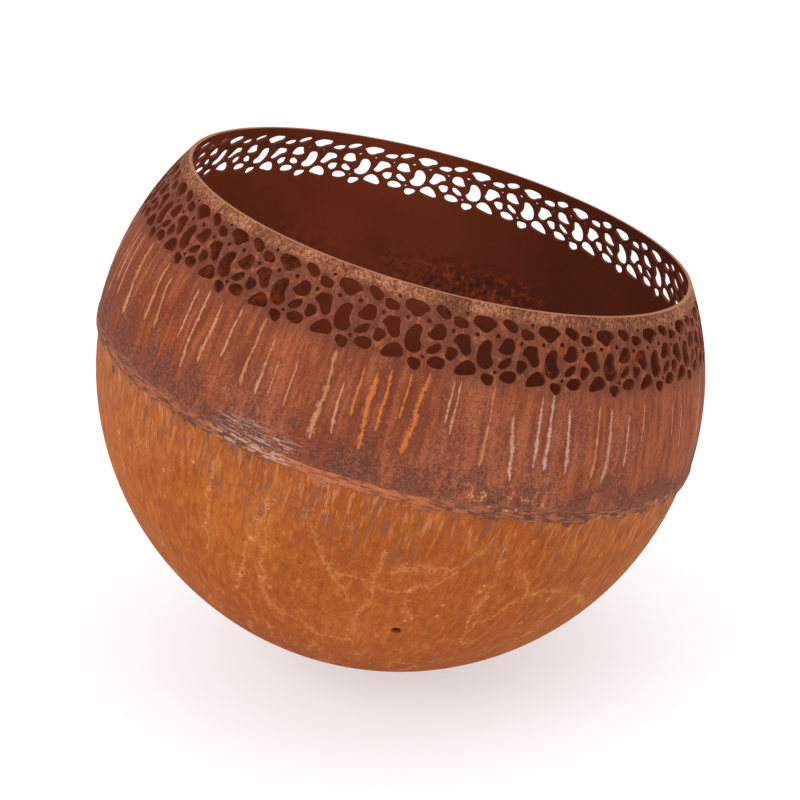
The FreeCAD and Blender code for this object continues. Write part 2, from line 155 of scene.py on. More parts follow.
def make_bowl_place():
    """Where a point is on the bowl: metres round it from the front and up it from the seam."""
    tree, _, out = new_group(
        "bowl_place", [],
        [("Around", FLOAT), ("Up", FLOAT), ("Wall", VECTOR), ("Hollow", VECTOR),
         ("Outside", FLOAT), ("Inside", FLOAT)],
    )
    coordinates = put(tree, "ShaderNodeTexCoord").outputs
    upright = lean.inverted()
    place = put(tree, "ShaderNodeMapping", {
        "Vector": coordinates["Object"],
        "Location": upright.to_translation(),
        "Rotation": upright.to_euler(),
    }).outputs[0]
    facing = put(tree, "ShaderNodeMapping", {
        "Vector": coordinates["Normal"],
        "Rotation": upright.to_euler(),
    }, vector_type="VECTOR").outputs[0]
    part = put(tree, "ShaderNodeSeparateXYZ", {0: place}).outputs
    angle = maths(tree, "ARCTAN2", part[1], part[0])
    turned = maths(tree, "WRAP", maths(tree, "SUBTRACT", angle, FRONT), math.pi, -math.pi)
    latitude = maths(tree, "ARCSINE", maths(tree, "DIVIDE", part[2], SEAM_RADIUS))
    up = product(tree, latitude, SEAM_RADIUS)
    wall = joined(
        tree,
        product(tree, maths(tree, "COSINE", angle), SEAM_RADIUS),
        product(tree, maths(tree, "SINE", angle), SEAM_RADIUS),
        up,
    )
    # the same, but drawn in towards the dish's lowest point, for the patterns that reach it
    drawn_in = maths(tree, "COSINE", maths(tree, "MINIMUM", latitude, 0.0))
    hollow = vector(tree, "MULTIPLY", wall, joined(tree, drawn_in, drawn_in, 1.0))
    look = vector(tree, "DOT_PRODUCT", vector(tree, "NORMALIZE", place), facing)
    tree.links.new(product(tree, turned, SEAM_RADIUS), out["Around"])
    tree.links.new(up, out["Up"])
    tree.links.new(wall, out["Wall"])
    tree.links.new(hollow, out["Hollow"])
    tree.links.new(ramp(tree, look, 0.6, 0.9), out["Outside"])
    tree.links.new(ramp(tree, look, -0.6, -0.9), out["Inside"])
    return tree


bowl_place = make_bowl_place()


def make_rust_grain():
    """Fine crystals of rust: speckle to lighten and darken a colour, and height for a bump."""
    tree, given, out = new_group(
        "rust_grain", [("Place", VECTOR, None)], [("Speckle", FLOAT), ("Height", FLOAT)]
    )
    fine = cloud(tree, given["Place"], 620, 2, 0.7)
    middling = cloud(tree, given["Place"], 300, 3, 0.7)
    coarse = cloud(tree, given["Place"], 60, 4, 0.6)
    speckle = maths(tree, "MULTIPLY_ADD", fine, 0.5, product(tree, middling, 0.5))
    height = maths(tree, "MULTIPLY_ADD", coarse, 0.5, speckle)
    tree.links.new(speckle, out["Speckle"])
    tree.links.new(height, out["Height"])
    return tree


rust_grain = make_rust_grain()

BROWNED = (0.225, 0.047, 0.019)
BROWNED_WARM = (0.355, 0.076, 0.03)
BROWNED_STREAK = (0.34, 0.075, 0.026)
BROWNED_DEEP_SHADE = (0.09, 0.016, 0.008)
EMBER_SCALE = (0.55, 0.1, 0.028)
SOOT_SCALE = (0.05, 0.024, 0.026)


def make_soot_and_shade_inside():
    """The smooth, heat-browned inside of the bowl, with painted shade that darkens it towards +X,
    and a scaly patch just over the seam.
    """
    tree, given, out = new_group(
        "soot_and_shade_inside", [("Wall", VECTOR, None), ("Up", FLOAT, 0.0)], [("Colour", COLOUR)]
    )
    wall = given["Wall"]
    broad = cloud(tree, wall, 5, 3, 0.55)
    colour = lay(tree, BROWNED, BROWNED_WARM, ramp(tree, broad, 0.35, 0.65))
    streak = streaks(tree, wall, 1, 0.25, 3, 60, 3, 0.6)
    colour = lay(tree, colour, BROWNED_STREAK, ramp(tree, streak, 0.5, 0.7, 0, 0.35))
    # painted shade: the inside grows darker towards +X
    side = put(tree, "ShaderNodeSeparateXYZ", {0: wall}).outputs[0]
    colour = lay(tree, colour, BROWNED_DEEP_SHADE, ramp(tree, side, -0.1, 0.2, 0, 0.78))
    scale = streaks(tree, wall, 1, 1, 7, 110, 5, 0.75)
    patch = streaks(tree, wall, 1, 1, 11, 8, 2, 0.5)
    scaly = product(tree, ramp(tree, given["Up"], 0.06, 0.02),
                    ramp(tree, patch, 0.42, 0.58, 0, 0.75))
    colour = lay(tree, colour, EMBER_SCALE, scaly, ramp(tree, scale, 0.52, 0.6), 0.9)
    colour = lay(tree, colour, SOOT_SCALE, scaly, ramp(tree, scale, 0.5, 0.42), 0.9)
    tree.links.new(colour, out["Colour"])
    return tree


soot_and_shade_inside = make_soot_and_shade_inside()


def rust_material(name):
    """An empty material with a rough, unpolished surface shader."""
    material = bpy.data.materials.new(name)
    material.use_nodes = True
    tree = material.node_tree
    shader = tree.nodes["Principled BSDF"]
    shader.inputs["Specular IOR Level"].default_value = 0.12
    return material, tree, shader


def finish_rust(tree, shader, colour, roughness, height, strength=0.5, distance=0.0006):
    """Links colour, roughness and bump to the surface shader."""
    bump = put(tree, "ShaderNodeBump", {
        "Height": height, "Strength": strength, "Distance": distance,
    })
    tree.links.new(colour, shader.inputs["Base Color"])
    tree.links.new(roughness, shader.inputs["Roughness"])
    tree.links.new(bump.outputs["Normal"], shader.inputs["Normal"])


OCHRE_DEEP = (0.34, 0.075, 0.0105)
OCHRE = (0.41, 0.107, 0.018)
OCHRE_LEFT = (0.4, 0.118, 0.028)
OCHRE_RIGHT = (0.365, 0.104, 0.03)
OCHRE_SHADED_LOW = (0.28, 0.055, 0.004)
OCHRE_BRUSHED_DARK = (0.25, 0.05, 0.009)
OCHRE_BRUSHED_PALE = (0.5, 0.16, 0.036)
OCHRE_GRAIN_DARK = (0.24, 0.06, 0.025)
OCHRE_GRAIN_PALE = (0.54, 0.2, 0.065)


def ochre_ground(tree, place, speckle, brushed):
    """Ochre, paler to the left, duller to the right, and darker underneath as painted shade."""
    broad = cloud(tree, place["Wall"], 6, 4, 0.6)
    colour = lay(tree, OCHRE_DEEP, OCHRE, ramp(tree, broad, 0.35, 0.65))
    colour = lay(tree, colour, OCHRE_LEFT, ramp(tree, place["Around"], -0.1, -0.36, 0, 0.5))
    colour = lay(tree, colour, OCHRE_RIGHT, ramp(tree, place["Around"], 0.1, 0.36, 0, 0.5))
    # painted shade: the dish grows darker towards its bottom
    colour = lay(tree, colour, OCHRE_SHADED_LOW, ramp(tree, place["Up"], -0.15, -0.28, 0, 0.8))
    colour = lay(tree, colour, OCHRE_BRUSHED_DARK, ramp(tree, brushed, 0.5, 0.38, 0, 0.55))
    colour = lay(tree, colour, OCHRE_BRUSHED_PALE, ramp(tree, brushed, 0.52, 0.66, 0, 0.5))
    colour = lay(tree, colour, OCHRE_GRAIN_DARK, ramp(tree, speckle, 0.47, 0.36, 0, 0.5))
    return lay(tree, colour, OCHRE_GRAIN_PALE, ramp(tree, speckle, 0.53, 0.64, 0, 0.4))


# Where rain has left its veins on the front of the dish, as bent lines: millimetres round
# from the front, and up from the seam.
VEINS = (
    ((-292, -52), (-282, -110)),
    ((-250, -65), (-225, -50)),
    ((-145, -20), (-142, -75), (-145, -130)),
    ((-80, -40), (-100, -120), (-110, -170)),
    ((-78, -60), (-80, -110), (-78, -165), (-60, -172), (-10, -190), (35, -195)),
    ((-50, -35), (-20, -85), (15, -125)),
    ((30, -60), (32, -95), (30, -130), (25, -175)),
    ((45, -75), (75, -70), (105, -62), (115, -45)),
    ((0, -95), (60, -100), (100, -70)),
    ((70, -110), (78, -135)),
    ((140, -20), (145, -90), (140, -120), (160, -175)),
    ((172, -60), (190, -88), (240, -85)),
    ((190, -88), (170, -115), (150, -145)),
    ((260, -75), (265, -100), (300, -120)),
    ((262, -100), (245, -130), (245, -170)),
)


def make_vein_distance():
    """How far a point on the wall is from the nearest of the front's veins."""
    tree, given, out = new_group(
        "vein_distance", [("Point", VECTOR, None)], [("Distance", FLOAT)]
    )
    nearest = 1.0
    for vein in VEINS:
        for start, end in zip(vein, vein[1:]):
            start = Vector((*start, 0)) / 1000
            along = Vector((*end, 0)) / 1000 - start
            reach = vector(tree, "SUBTRACT", given["Point"], start)
            share = vector(tree, "DOT_PRODUCT", reach, along / along.length_squared)
            share = put(tree, "ShaderNodeClamp", {0: share}).outputs[0]
            foot = put(tree, "ShaderNodeVectorMath", {0: along, "Scale": share},
                       operation="SCALE").outputs[0]
            nearest = maths(tree, "MINIMUM", nearest, vector(tree, "DISTANCE", reach, foot))
    tree.links.new(nearest, out["Distance"])
    return tree


vein_distance = make_vein_distance()

CELL_COUNT = 22  # cells in a metre, for the veins that aren't drawn


def distance_to_vein(tree, place, broken):
    """Metres to a vein: drawn as they lie on the front, and the edges of tall cells elsewhere."""
    wall, up, around = place["Wall"], place["Up"], place["Around"]
    wobble = put(tree, "ShaderNodeTexNoise", {
        "Vector": stretched(tree, wall, 1, 1, 5), "Scale": 55, "Detail": 4, "Roughness": 0.7,
    }).outputs["Color"]
    sway = Vector((0.034, 0.034, 0))
    bent = vector(tree, "MULTIPLY_ADD", wobble, sway, joined(tree, around, up))
    bent = vector(tree, "SUBTRACT", bent, sway / 2)
    drawn = use(tree, vein_distance, {"Point": bent})["Distance"]
    bent = vector(tree, "MULTIPLY_ADD", wobble, (0.045,) * 3, stretched(tree, wall, 1, 0.5))
    cells = put(tree, "ShaderNodeTexVoronoi", {"Vector": bent, "Scale": CELL_COUNT},
                feature="DISTANCE_TO_EDGE").outputs["Distance"]
    cells = maths(tree, "ADD", maths(tree, "DIVIDE", cells, CELL_COUNT),
                  ramp(tree, broken, 0.56, 0.48, 0, 0.006))
    in_front = ramp(tree, maths(tree, "ABSOLUTE", around), 0.36, 0.3)
    high = ramp(tree, up, -0.22, -0.17)
    cells = maths(tree, "MULTIPLY_ADD", product(tree, in_front, high), 0.01, cells)
    return maths(tree, "MINIMUM", drawn, cells)


VEIN = (0.56, 0.21, 0.068)
VEIN_EDGE = (0.47, 0.15, 0.038)


def lay_veins(tree, place, colour, near):
    """Pale feathery veins with a softer edge. Gives the colour, and where the veins are."""
    feather = streaks(tree, place["Wall"], 1, 1, 31, 230, 4, 0.7)
    widths = maths(tree, "DIVIDE", near, ramp(tree, feather, 0.38, 0.62, 0.12, 1.9))
    veins = product(tree, ramp(tree, widths, 0.0024, 0.0003),
                    ramp(tree, place["Up"], -0.015, -0.05))
    edges = product(tree, ramp(tree, widths, 0.008, 0.001), ramp(tree, place["Up"], -0.02, -0.06))
    colour = lay(tree, colour, VEIN_EDGE, edges, 0.3)
    return lay(tree, colour, VEIN, veins, 0.48), veins


DROP_RING = (0.64, 0.26, 0.1)
DROP_PIT = (0.15, 0.035, 0.012)


def lay_drops(tree, place, colour, near, broken):
    """Dried drops along the veins and between: a pale ring and a dark pit, which it gives too."""
    drops = put(tree, "ShaderNodeTexVoronoi", {"Vector": place["Wall"], "Scale": 105},
                feature="F1").outputs
    chance = put(tree, "ShaderNodeSeparateColor", {0: drops["Color"]}).outputs[0]
    wanted = maths(tree, "ADD", chance, ramp(tree, near, 0.006, 0.002, 0, 0.5))
    wanted = maths(tree, "ADD", wanted, ramp(tree, broken, 0.5, 0.62, 0, 0.05))
    wanted = product(tree, ramp(tree, wanted, 0.965, 0.985), ramp(tree, place["Up"], -0.01, -0.04))
    rings = window(tree, drops["Distance"], 0.09, 0.15, 0.2, 0.28)
    pits = product(tree, ramp(tree, drops["Distance"], 0.11, 0.06), wanted)
    colour = lay(tree, colour, DROP_RING, rings, wanted, 0.75)
    return lay(tree, colour, DROP_PIT, pits, 0.9), pits


PLUM_RUN = (0.175, 0.08, 0.058)
PALE_RUN = (0.52, 0.2, 0.085)


def lay_hanging_runs(tree, place, colour):
    """Fine plum-grey and pale runs hanging from the seam, thinning out as they go down."""
    wall, up = place["Wall"], place["Up"]
    runs = streaks(tree, wall, 1, 0.14, 2, 300, 3, 0.6)
    off_front = maths(tree, "ABSOLUTE", maths(tree, "SUBTRACT", place["Around"], 0.03))
    where = maths(tree, "ADD", streaks(tree, wall, 1, 0.6, 9, 18, 3, 0.6),
                  ramp(tree, off_front, 0.14, 0.05, 0, 0.1))
    reach = product(tree, ramp(tree, up, -0.1, -0.02), ramp(tree, where, 0.42, 0.62))
    colour = lay(tree, colour, PLUM_RUN, ramp(tree, runs, 0.52, 0.6), reach, 0.8)
    return lay(tree, colour, PALE_RUN, ramp(tree, runs, 0.45, 0.36),
               ramp(tree, up, -0.07, -0.015), 0.65)


def make_worn_middle():
    """Where the dark weld scale has worn off the front of the joint and rusted orange."""
    tree, given, out = new_group(
        "worn_middle", [("Around", FLOAT, 0.0)], [("Share", FLOAT)]
    )
    worn = window(tree, given["Around"], -0.12, -0.06, 0.035, 0.085)
    tree.links.new(product(tree, worn, 0.75), out["Share"])
    return tree


worn_middle = make_worn_middle()

JOINT_ORANGE = (0.48, 0.136, 0.055)


def lay_worn_middle(tree, place, colour, mottle, low, high):
    """Orange where the joint's scale has worn off, least where the mottle is under low."""
    worn = use(tree, worn_middle, {"Around": place["Around"]})["Share"]
    return lay(tree, colour, JOINT_ORANGE, worn, ramp(tree, mottle, low, high, 0.3, 1))


HEAT_DARK = (0.12, 0.042, 0.03)
HEAT_PALE = (0.31, 0.105, 0.055)


def lay_heat_line(tree, place, colour):
    """The heat line under the weld: a wavy lower edge, with tongues hanging from it."""
    wall = place["Wall"]
    wave = streaks(tree, wall, 1, 0.05, 13, 26, 4, 0.6)
    tongues = streaks(tree, wall, 1, 0.25, 27, 95, 3, 0.6)
    hang = product(tree, ramp(tree, tongues, 0.48, 0.66, 0, 0.016),
                   ramp(tree, place["Around"], 0.02, -0.14, 0.35, 1))
    edge = maths(tree, "MULTIPLY_ADD", wave, -0.02, maths(tree, "SUBTRACT", 0.006, hang))
    heat = ramp(tree, maths(tree, "SUBTRACT", place["Up"], edge), -0.0015, 0.002)
    mottle = streaks(tree, wall, 0.45, 1.2, 17, 150, 4, 0.75)
    stain = lay(tree, HEAT_DARK, HEAT_PALE, ramp(tree, mottle, 0.4, 0.6))
    stain = lay_worn_middle(tree, place, stain, mottle, 0.38, 0.52)
    return lay(tree, colour, stain, heat, 0.92)


def make_dish_rust():
    """Ochre outside with its veins, drops, runs and heat line, and heat-browned inside with
    painted shade.
    """
    material, tree, shader = rust_material("ochre_rust")
    place = use(tree, bowl_place)
    grain = use(tree, rust_grain, {"Place": place["Wall"]})
    brushed = streaks(tree, place["Wall"], 1, 0.45, 3, 130, 4, 0.7)
    broken = streaks(tree, place["Wall"], 1, 1, 21, 20, 3, 0.6)
    near = distance_to_vein(tree, place, broken)

    colour = ochre_ground(tree, place, grain["Speckle"], brushed)
    colour, veins = lay_veins(tree, place, colour, near)
    colour, pits = lay_drops(tree, place, colour, near, broken)
    colour = lay_hanging_runs(tree, place, colour)
    colour = lay_heat_line(tree, place, colour)
    # the inside's colour: heat-browning with painted shade
    inside = use(tree, soot_and_shade_inside, {"Wall": place["Hollow"], "Up": place["Up"]})["Colour"]
    colour = lay(tree, inside, colour, place["Outside"])

    roughness = ramp(tree, grain["Speckle"], 0.3, 0.7, 0.78, 0.95)
    height = maths(tree, "MULTIPLY_ADD", veins, 0.3, grain["Height"])
    height = maths(tree, "MULTIPLY_ADD", pits, -0.8, height)
    height = maths(tree, "MULTIPLY_ADD", brushed, 0.4, height)
    finish_rust(tree, shader, colour, roughness, height)
    return material


def dress(node, material):
    """Gives a CAD piece its finish."""
    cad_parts[node].data.materials[0] = material


dress("lower_bowl", make_dish_rust())


# ------------------------------------------------------------------ upper band
# The upper band is spun from the same sheet and laser-cut into a pebble pattern under a plain
# rim. Rain drips from the cut edges, and each drip has left a pale orange run down the
# brown-red rust, as far as the heat-stained strip over the weld.

BAND_DEEP = (0.235, 0.055, 0.0225)
BAND_WARM = (0.3, 0.075, 0.031)
BAND_RIGHT = (0.3, 0.074, 0.032)
BAND_LEFT = (0.21, 0.038, 0.011)
BAND_MIDDLE = (0.17, 0.042, 0.02)
BAND_BRUSHED_PALE = (0.39, 0.106, 0.043)
BAND_BRUSHED_DARK = (0.135, 0.03, 0.016)
BAND_WEATHERED = (0.3, 0.125, 0.08)
BAND_GRAIN_DARK = (0.12, 0.03, 0.017)
BAND_GRAIN_PALE = (0.42, 0.15, 0.07)


def band_ground(tree, place, speckle, broad, brushed, dots):
    """Brown-red, brushed upright by the rain, with greyer weathered patches."""
    around = place["Around"]
    colour = lay(tree, BAND_DEEP, BAND_WARM, ramp(tree, broad, 0.35, 0.65))
    colour = lay(tree, colour, BAND_RIGHT, ramp(tree, around, 0.0, 0.34, 0, 0.5))
    colour = lay(tree, colour, BAND_LEFT, ramp(tree, around, -0.08, -0.34, 0, 0.75))
    middle = ramp(tree, maths(tree, "ABSOLUTE", around), 0.09, 0.03)
    colour = lay(tree, colour, BAND_MIDDLE, middle, 0.5)
    colour = lay(tree, colour, BAND_BRUSHED_PALE, ramp(tree, brushed, 0.51, 0.62, 0, 0.5))
    colour = lay(tree, colour, BAND_BRUSHED_DARK, ramp(tree, brushed, 0.49, 0.38, 0, 0.5))
    grey = streaks(tree, place["Wall"], 1, 0.6, 23, 14, 3, 0.55)
    colour = lay(tree, colour, BAND_WEATHERED, ramp(tree, grey, 0.47, 0.6), dots,
                 ramp(tree, around, -0.34, -0.2, 0.3, 1), 0.42)
    colour = lay(tree, colour, BAND_GRAIN_DARK, ramp(tree, speckle, 0.48, 0.38, 0, 0.65))
    return lay(tree, colour, BAND_GRAIN_PALE, ramp(tree, speckle, 0.54, 0.64, 0, 0.5))


STAIN_DARK = (0.105, 0.034, 0.023)
STAIN_PALE = (0.2, 0.068, 0.043)


def lay_heat_stain(tree, place, colour, dots):
    """Plum-grey blotches over the weld, widest on the left, that fade out upwards."""
    up = place["Up"]
    stain = streaks(tree, place["Wall"], 1, 0.5, 6, 46, 5, 0.7)
    stain = maths(tree, "MULTIPLY_ADD", ramp(tree, up, 0.06, 0.004), 0.2, stain)
    stain = maths(tree, "ADD", stain, ramp(tree, place["Around"], -0.13, -0.24, 0, 0.09))
    blotch = lay(tree, STAIN_DARK, STAIN_PALE, dots)
    return lay(tree, colour, blotch, ramp(tree, stain, 0.6, 0.7), ramp(tree, up, 0.08, 0.05), 0.75)


# The runs on the front of the band, in millimetres: how far round from the front, where each
# starts and ends above the seam, its width, and how much it wanders.
FRONT_RUNS = (
    (-362, 108, 48, 2.4, 5), (-347, 112, 40, 2.2, 6), (-318, 112, 34, 3.2, 6),
    (-272, 110, 46, 2.6, 5), (-256, 100, 46, 2.2, 7), (-217, 106, 52, 1.6, 2),
    (-202, 112, 30, 2.0, 5), (-182, 106, 42, 2.4, 4), (-162, 112, 56, 1.7, 4),
    (-132, 112, 42, 2.1, 6), (-117, 98, 40, 1.4, 4), (-106, 82, 44, 1.2, 2),
    (-89, 88, 40, 1.3, 2), (-61, 108, 22, 3.0, 7), (-43, 84, 32, 2.0, 6),
    (-29, 102, 52, 1.7, 3), (-17, 100, 26, 3.0, 5), (-4, 106, 46, 2.2, 4),
    (13, 108, 62, 1.7, 2), (26, 112, 32, 2.8, 6), (51, 110, 66, 1.5, 2),
    (57, 112, 58, 1.8, 3), (91, 112, 34, 2.2, 6), (119, 90, 26, 2.2, 6),
    (140, 112, 40, 1.9, 3), (151, 112, 38, 2.3, 3), (171, 100, 36, 2.2, 4),
    (205, 104, 32, 2.0, 2), (220, 102, 26, 2.4, 5), (243, 94, 40, 2.0, 2),
    (265, 104, 62, 1.4, 2), (318, 100, 60, 1.3, 2), (338, 96, 44, 1.5, 2),
)
PAST_END = 3.0  # half widths off a run's line that count as clear of it


def make_drip_run():
    """How far a point is from one drip's run, in half widths of the run."""
    tree, given, out = new_group(
        "drip_run",
        [("Around", FLOAT, 0.0), ("Up", FLOAT, 0.0), ("Wander", FLOAT, 0.0),
         ("Ragged", FLOAT, 0.5), ("Centre", FLOAT, 0.0), ("Top", FLOAT, 0.11),
         ("Bottom", FLOAT, 0.04), ("Width", FLOAT, 0.002), ("Drift", FLOAT, 0.004)],
        [("Near", FLOAT)],
    )
    middle = maths(tree, "MULTIPLY_ADD", given["Wander"], given["Drift"], given["Centre"])
    off = maths(tree, "ABSOLUTE", maths(tree, "SUBTRACT", given["Around"], middle))
    # a run widens a little on its way down, and its edge is eaten away unevenly
    down = maths(tree, "SUBTRACT", given["Top"], given["Up"])
    width = product(tree, given["Width"], maths(tree, "MULTIPLY_ADD", down, 6.0, 0.75))
    width = product(tree, width, given["Ragged"])
    start = ramp(tree, down, -0.012, 0.008)
    end = ramp(tree, maths(tree, "SUBTRACT", given["Up"], given["Bottom"]), -0.006, 0.012)
    past_ends = ramp(tree, product(tree, start, end), 1.0, 0.0, 0, PAST_END)
    near = maths(tree, "ADD", maths(tree, "DIVIDE", off, width), past_ends)
    tree.links.new(near, out["Near"])
    return tree


drip_run = make_drip_run()


def nearest_front_run(tree, place, wander, ragged):
    """Half widths to the nearest of the front's runs."""
    nearest = PAST_END
    for centre, top, bottom, width, drift in FRONT_RUNS:
        near = use(tree, drip_run, {
            "Around": place["Around"], "Up": place["Up"], "Wander": wander, "Ragged": ragged,
            "Centre": centre / 1000, "Top": top / 1000, "Bottom": bottom / 1000,
            "Width": width / 1000, "Drift": drift / 250,
        })["Near"]
        nearest = maths(tree, "MINIMUM", nearest, near)
    return nearest


RUN_PITCH = 0.022  # average gap between two runs on the back
RUN_FADE = 0.012  # how much of a run's end fades out


def back_runs(tree, place, wander, ragged):
    """More of the same all round the back, each in its own lane."""
    around, up = place["Around"], place["Up"]
    strayed = maths(tree, "MULTIPLY_ADD", wander, 0.016, around)
    lanes = put(tree, "ShaderNodeTexVoronoi", {
        "W": maths(tree, "DIVIDE", strayed, RUN_PITCH), "Scale": 1.0,
    }, voronoi_dimensions="1D", feature="F1").outputs
    lane = put(tree, "ShaderNodeSeparateColor", {0: lanes["Color"]}).outputs
    line = ramp(tree, maths(tree, "DIVIDE", lanes["Distance"], ragged), 0.085, 0.03)
    top = maths(tree, "MULTIPLY_ADD", lane[0], -0.03, 0.115)
    bottom = maths(tree, "MULTIPLY_ADD", lane[1], 0.04, 0.025)
    under_top = ramp(tree, maths(tree, "SUBTRACT", top, up), 0.0, RUN_FADE)
    over_bottom = ramp(tree, maths(tree, "SUBTRACT", up, bottom), 0.0, RUN_FADE)
    behind = ramp(tree, maths(tree, "ABSOLUTE", around), 0.36, 0.38)
    return product(tree, line, under_top, over_bottom, behind)


RUN_ORANGE = (0.55, 0.21, 0.08)
RUN_PINK = (0.58, 0.27, 0.17)
RUN_BRIGHT = (0.6, 0.165, 0.036)
RUN_WHITISH = (0.6, 0.37, 0.31)
RUN_GRAIN = (0.36, 0.105, 0.045)
RUN_SHADE = (0.15, 0.03, 0.016)
RUN_EDGE = (0.14, 0.034, 0.02)


def lay_runs(tree, place, colour, speckle, brushed):
    """The drips' runs, each darker along its sides. Gives the colour, and where they are."""
    wall, up, around = place["Wall"], place["Up"], place["Around"]
    ragged = ramp(tree, streaks(tree, wall, 1, 0.8, 19, 210, 4, 0.75), 0.34, 0.66, 0.3, 1.5)
    wander = maths(tree, "SUBTRACT", streaks(tree, wall, 1, 0.7, 29, 20, 2, 0.45), 0.5)
    nearest = nearest_front_run(tree, place, wander, ragged)
    runs = maths(tree, "MAXIMUM", ramp(tree, nearest, 1.25, 0.2),
                 back_runs(tree, place, wander, ragged))
    tint = streaks(tree, wall, 1, 0.1, 37, 26, 2, 0.5)
    run_colour = lay(tree, RUN_ORANGE, RUN_PINK, ramp(tree, tint, 0.46, 0.56))
    middle = window(tree, around, -0.036, -0.026, 0.03, 0.04)
    run_colour = lay(tree, run_colour, RUN_BRIGHT, middle)
    right = window(tree, around, 0.11, 0.125, 0.18, 0.19)
    run_colour = lay(tree, run_colour, RUN_WHITISH, right, 0.8)
    run_colour = lay(tree, run_colour, RUN_GRAIN, ramp(tree, speckle, 0.52, 0.42, 0, 0.6))
    colour = lay(tree, colour, RUN_SHADE, ramp(tree, brushed, 0.53, 0.45),
                 ramp(tree, up, 0.03, 0.07), 0.2)
    colour = lay(tree, colour, RUN_EDGE, ramp(tree, nearest, 2.9, 1.2), 0.4)
    return lay(tree, colour, run_colour, runs, 0.85), runs


WEB_DRAB = (0.11, 0.034, 0.022)
WEB_FLECK = (0.36, 0.105, 0.04)
WEB_SPECK = (0.095, 0.03, 0.021)


def lay_webs(tree, place, colour, broad, mix):
    """Webs between the pebbles: greyer, with orange flecks and near-black specks."""
    web = ramp(tree, place["Up"], 0.098, 0.125)
    colour = lay(tree, colour, WEB_DRAB, web, ramp(tree, broad, 0.35, 0.6, 0.3, 0.75))
    colour = lay(tree, colour, WEB_FLECK, ramp(tree, mix, 0.53, 0.62), web, 0.6)
    return lay(tree, colour, WEB_SPECK, ramp(tree, mix, 0.46, 0.38), web, 0.7)


RIM_DARK = (0.1, 0.034, 0.022)
RIM_BROWN = (0.25, 0.082, 0.036)
RIM_PINK = (0.44, 0.19, 0.105)


def lay_rim(tree, place, colour):
    """The plain rim: coarse salt and pepper of pink, orange and near-black."""
    salt = streaks(tree, place["Wall"], 1, 1, 43, 330, 3, 0.75)
    patches = streaks(tree, place["Wall"], 1, 1, 47, 20, 4, 0.6)
    salted = maths(tree, "MULTIPLY_ADD", patches, 0.45, product(tree, salt, 0.75))
    rim_colour = lay(tree, RIM_DARK, RIM_BROWN, ramp(tree, salted, 0.52, 0.6))
    rim_colour = lay(tree, rim_colour, RIM_PINK, ramp(tree, salted, 0.62, 0.7))
    return lay(tree, colour, rim_colour, ramp(tree, place["Up"], 0.166, 0.173), 0.9)


STRIP_DARK = (0.13, 0.047, 0.031)
STRIP_PALE = (0.37, 0.13, 0.068)
STRIP_SCRATCH = (0.5, 0.34, 0.29)
STRIP_FLECK = (0.62, 0.25, 0.12)
GROUND_BACK = (-0.16, -0.12, -0.085, -0.05)  # round the joint, where the grinder has been


def lay_weld_strip(tree, place, colour, mix):
    """The strip right over the weld: dark, drawn out along it, and worn through in the middle.

    Gives the colour, and the strip's relief.
    """
    wall, up, around = place["Wall"], place["Up"], place["Around"]
    drawn = streaks(tree, wall, 0.32, 2.0, 53, 170, 4, 0.72)
    ragged_top = streaks(tree, wall, 1, 1, 59, 40, 4, 0.7)
    strip = ramp(tree, maths(tree, "MULTIPLY_ADD", ragged_top, 0.05, up), 0.044, 0.018)
    sides = maths(tree, "ADD", ramp(tree, around, -0.12, -0.2), ramp(tree, around, 0.03, 0.1))
    near_weld = ramp(tree, up, 0.01, 0.001, 0, 0.35)
    share = maths(tree, "ADD", product(tree, sides, 0.5), near_weld)
    strip = product(tree, strip, maths(tree, "ADD", share, 0.12))
    strip_colour = lay(tree, STRIP_DARK, STRIP_PALE, ramp(tree, drawn, 0.44, 0.58))
    strip_colour = lay_worn_middle(tree, place, strip_colour, drawn, 0.4, 0.52)
    colour = lay(tree, colour, strip_colour, strip, 0.95)
    fine_lines = streaks(tree, wall, 0.3, 3, 61, 190, 3, 0.75)
    colour = lay(tree, colour, STRIP_SCRATCH, window(tree, around, *GROUND_BACK),
                 ramp(tree, up, 0.028, 0.016), ramp(tree, fine_lines, 0.52, 0.6), 0.8)
    colour = lay(tree, colour, STRIP_FLECK, window(tree, around, 0.06, 0.1, 0.15, 0.2),
                 ramp(tree, up, 0.03, 0.015), ramp(tree, mix, 0.55, 0.6), 0.8)
    return colour, product(tree, strip, drawn)


CUT_SHADE_IN_HOLES = (0.15, 0.034, 0.016)
CUT_ON_RIM = (0.36, 0.145, 0.08)


